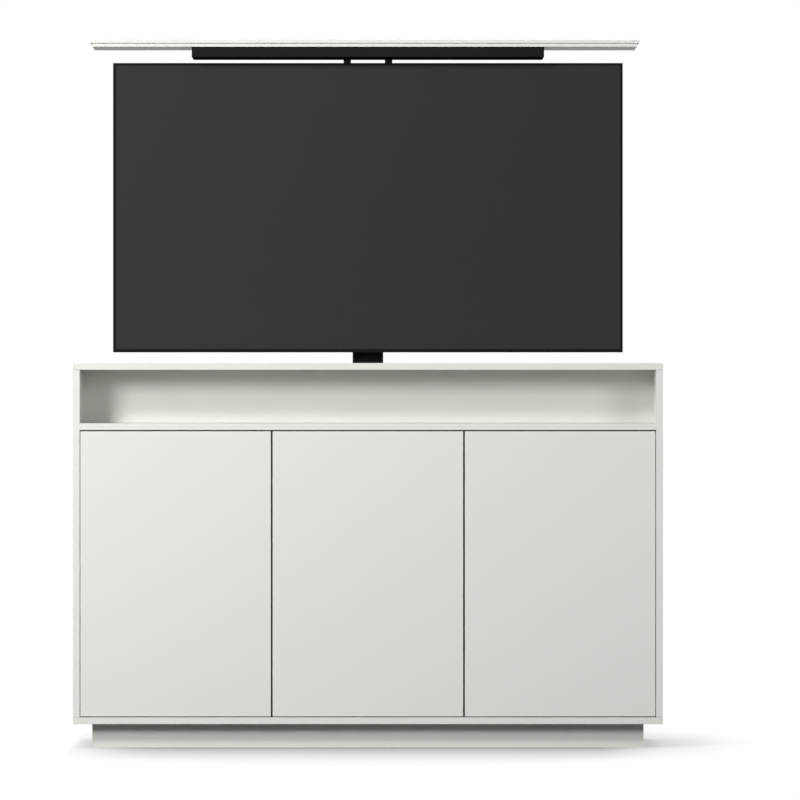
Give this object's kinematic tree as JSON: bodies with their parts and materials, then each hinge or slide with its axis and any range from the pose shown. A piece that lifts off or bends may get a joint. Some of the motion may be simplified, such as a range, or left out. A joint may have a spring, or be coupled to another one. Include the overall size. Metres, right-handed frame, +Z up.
{
  "type": "tv lift cabinet",
  "caption": "Low cabinet with flush push-to-open doors, an open niche and a plinth; a motorised column raises a flat screen and the lid above it.",
  "frame": {"origin": "on the floor, at the middle of the cabinet's width and depth", "axes": "+Z up, the doors face -Y, +X to the right as seen from the front"},
  "size_m": [1.4, 0.43, 1.6915],
  "materials": {
    "lacquered_board": "matt light warm grey lacquer on fibreboard",
    "beech": "raw beech",
    "zinc_steel": "bright zinc",
    "nickel_steel": "nickel plated pressed steel",
    "spindle_steel": "greased rolled steel",
    "grey_plastic": "grey nylon",
    "black_plastic": "fine textured black",
    "guide_plastic": "natural acetal",
    "black_steel": "satin black powder coat",
    "motor_casing": "dark grey enamel",
    "cast_aluminium": "black anodised",
    "tray_aluminium": "plain sheet",
    "gloss_bezel": "satin black",
    "screen_panel": "anti-glare dark grey panel",
    "circuit_board": "green board with black components"
  },
  "bodies": {
    "cabinet": {"top_panel": "lacquered_board", "bottom_panel": "lacquered_board", "side_panel_left": "lacquered_board", "side_panel_right": "lacquered_board", "niche_shelf": "lacquered_board", "bay_divider": "lacquered_board", "partition_left": "lacquered_board", "partition_right": "lacquered_board", "rear_panel": "lacquered_board", "plinth_front": "lacquered_board", "plinth_back": "lacquered_board", "plinth_cross_boards": "lacquered_board", "inner_shelves": "lacquered_board", "carcass_dowels": "beech", "rear_panel_screws": "zinc_steel", "shelf_pins": "zinc_steel", "hinge_arms": "nickel_steel", "hinge_plates": "nickel_steel", "hinge_plate_screws": "zinc_steel", "cable_grommet": "grey_plastic", "latch_bodies": "grey_plastic", "lift_base_plate": "black_steel", "base_bolts": "zinc_steel", "column_outer_tube": "black_steel", "outer_guide_collar": "black_plastic", "gear_motor": "motor_casing", "control_box": "black_plastic", "power_inlet": "black_plastic"},
    "door_left": {"door_left": "lacquered_board", "hinge_cups_left": "nickel_steel", "hinge_pins_left": "zinc_steel"},
    "door_middle": {"door_middle": "lacquered_board", "hinge_cups_middle": "nickel_steel", "hinge_pins_middle": "zinc_steel"},
    "door_right": {"door_right": "lacquered_board", "hinge_cups_right": "nickel_steel", "hinge_pins_right": "zinc_steel"},
    "plunger_left": {"latch_plunger_left": "grey_plastic"},
    "plunger_middle": {"latch_plunger_middle": "grey_plastic"},
    "plunger_right": {"latch_plunger_right": "grey_plastic"},
    "drive_spindle": {"drive_spindle": "spindle_steel"},
    "middle_stage": {"column_middle_tube": "black_steel", "middle_guide_collar": "black_plastic", "middle_nut": "guide_plastic"},
    "second_spindle": {"second_spindle": "spindle_steel"},
    "screen_carriage": {"column_inner_tube": "black_steel", "inner_nut": "guide_plastic", "lift_head": "cast_aluminium", "mount_frame": "black_steel", "tv_arms": "black_steel", "mount_bolts": "zinc_steel", "lid_posts": "black_steel", "lid_carrier": "black_steel", "lid_screws": "zinc_steel", "lid_board": "lacquered_board", "tv_bezel": "gloss_bezel", "tv_screen": "screen_panel", "tv_backlight_tray": "tray_aluminium", "tv_back_cover": "black_plastic", "tv_circuit_boards": "circuit_board"}
  },
  "joints": [
    {"name": "lift_slide", "type": "slide", "parent": "cabinet", "child": "screen_carriage", "axis": [0, 0, 1], "range_m": [-0.7765, 0]},
    {"name": "middle_stage_slide", "type": "slide", "parent": "cabinet", "child": "middle_stage", "axis": [0, 0, 1], "range_m": [-0.38825, 0]},
    {"name": "drive_spindle_turn", "type": "hinge", "parent": "cabinet", "child": "drive_spindle", "pos_m": [0, 0.098, 0.5], "axis": [0, 0, 1], "range_deg": [-8736.62, 0]},
    {"name": "second_spindle_turn", "type": "hinge", "parent": "middle_stage", "child": "second_spindle", "pos_m": [0, 0.098, 0.6], "axis": [0, 0, 1], "range_deg": [-8736.62, 0]},
    {"name": "door_left_hinge", "type": "hinge", "parent": "cabinet", "child": "door_left", "pos_m": [-0.6685, -0.209, 0.415], "axis": [0, 0, -1], "range_deg": [0, 95]},
    {"name": "door_middle_hinge", "type": "hinge", "parent": "cabinet", "child": "door_middle", "pos_m": [-0.21217, -0.209, 0.415], "axis": [0, 0, -1], "range_deg": [0, 95]},
    {"name": "door_right_hinge", "type": "hinge", "parent": "cabinet", "child": "door_right", "pos_m": [0.6685, -0.209, 0.415], "axis": [0, 0, 1], "range_deg": [0, 95]},
    {"name": "latch_left_press", "type": "slide", "parent": "cabinet", "child": "plunger_left", "axis": [0, 1, 0], "range_m": [0, 0.003], "stiffness_N_per_m": 600, "springref_m": -0.002},
    {"name": "latch_middle_press", "type": "slide", "parent": "cabinet", "child": "plunger_middle", "axis": [0, 1, 0], "range_m": [0, 0.003], "stiffness_N_per_m": 600, "springref_m": -0.002},
    {"name": "latch_right_press", "type": "slide", "parent": "cabinet", "child": "plunger_right", "axis": [0, 1, 0], "range_m": [0, 0.003], "stiffness_N_per_m": 600, "springref_m": -0.002}
  ],
  "couplings": [
    {"joint": "middle_stage_slide", "follows": "lift_slide", "ratio": 0.5},
    {"joint": "drive_spindle_turn", "follows": "lift_slide", "rad_per_m": 196.35},
    {"joint": "second_spindle_turn", "follows": "lift_slide", "rad_per_m": 196.35}
  ]
}
